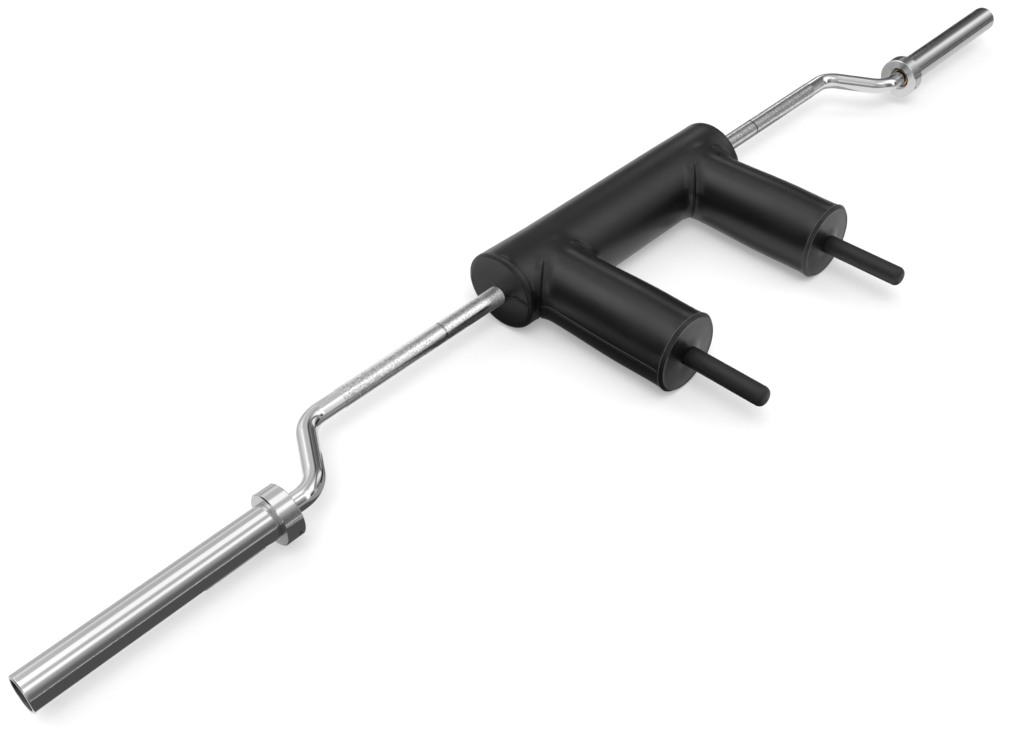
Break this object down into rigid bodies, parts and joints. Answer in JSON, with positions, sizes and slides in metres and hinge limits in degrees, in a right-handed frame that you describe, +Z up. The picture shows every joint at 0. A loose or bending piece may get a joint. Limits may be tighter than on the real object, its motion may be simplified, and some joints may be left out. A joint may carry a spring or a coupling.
{
  "type": "safety squat bar",
  "caption": "Cambered squat bar with rotating plate sleeves, a padded shoulder yoke, two padded horns and rubber handles.",
  "frame": {"origin": "on the floor, under the middle of the bar's bounding box, with the bar lying on its pads and the horns level", "axes": "+X along the bar towards the lifter's left end, -Y the way the horns and handles point, +Z up"},
  "size_m": [2.2, 0.494, 0.1285],
  "materials": {
    "chrome_bar": "polished",
    "chrome_sleeve": "polished",
    "black_steel": "satin",
    "zinc_steel": "satin",
    "spring_steel": "satin",
    "bronze": "satin",
    "black_vinyl": "satin",
    "foam": "matte",
    "black_rubber": "matte"
  },
  "bodies": {
    "bar": {"shaft": "chrome_bar", "left_arm": "black_steel", "right_arm": "black_steel", "yoke_foam": "foam", "left_horn_foam": "foam", "right_horn_foam": "foam", "yoke_cover": "black_vinyl", "left_horn_cover": "black_vinyl", "right_horn_cover": "black_vinyl", "left_stop_washer": "zinc_steel", "right_stop_washer": "zinc_steel", "left_grip": "black_rubber", "right_grip": "black_rubber", "left_thrust_washer": "bronze", "right_thrust_washer": "bronze", "left_retaining_washer": "zinc_steel", "right_retaining_washer": "zinc_steel", "left_snap_ring": "spring_steel", "right_snap_ring": "spring_steel"},
    "left_sleeve": {"left_sleeve": "chrome_sleeve", "left_collar": "chrome_sleeve", "left_collar_pin": "spring_steel", "left_inner_bush": "bronze", "left_outer_bush": "bronze", "left_end_cap": "zinc_steel"},
    "right_sleeve": {"right_sleeve": "chrome_sleeve", "right_collar": "chrome_sleeve", "right_collar_pin": "spring_steel", "right_inner_bush": "bronze", "right_outer_bush": "bronze", "right_end_cap": "zinc_steel"}
  },
  "joints": [
    {"name": "left_sleeve_spin", "type": "hinge", "parent": "bar", "child": "left_sleeve", "pos_m": [0.744, 0.086, 0.0575], "axis": [1, 0, 0], "continuous": true},
    {"name": "right_sleeve_spin", "type": "hinge", "parent": "bar", "child": "right_sleeve", "pos_m": [-0.744, 0.086, 0.0575], "axis": [1, 0, 0], "continuous": true}
  ]
}
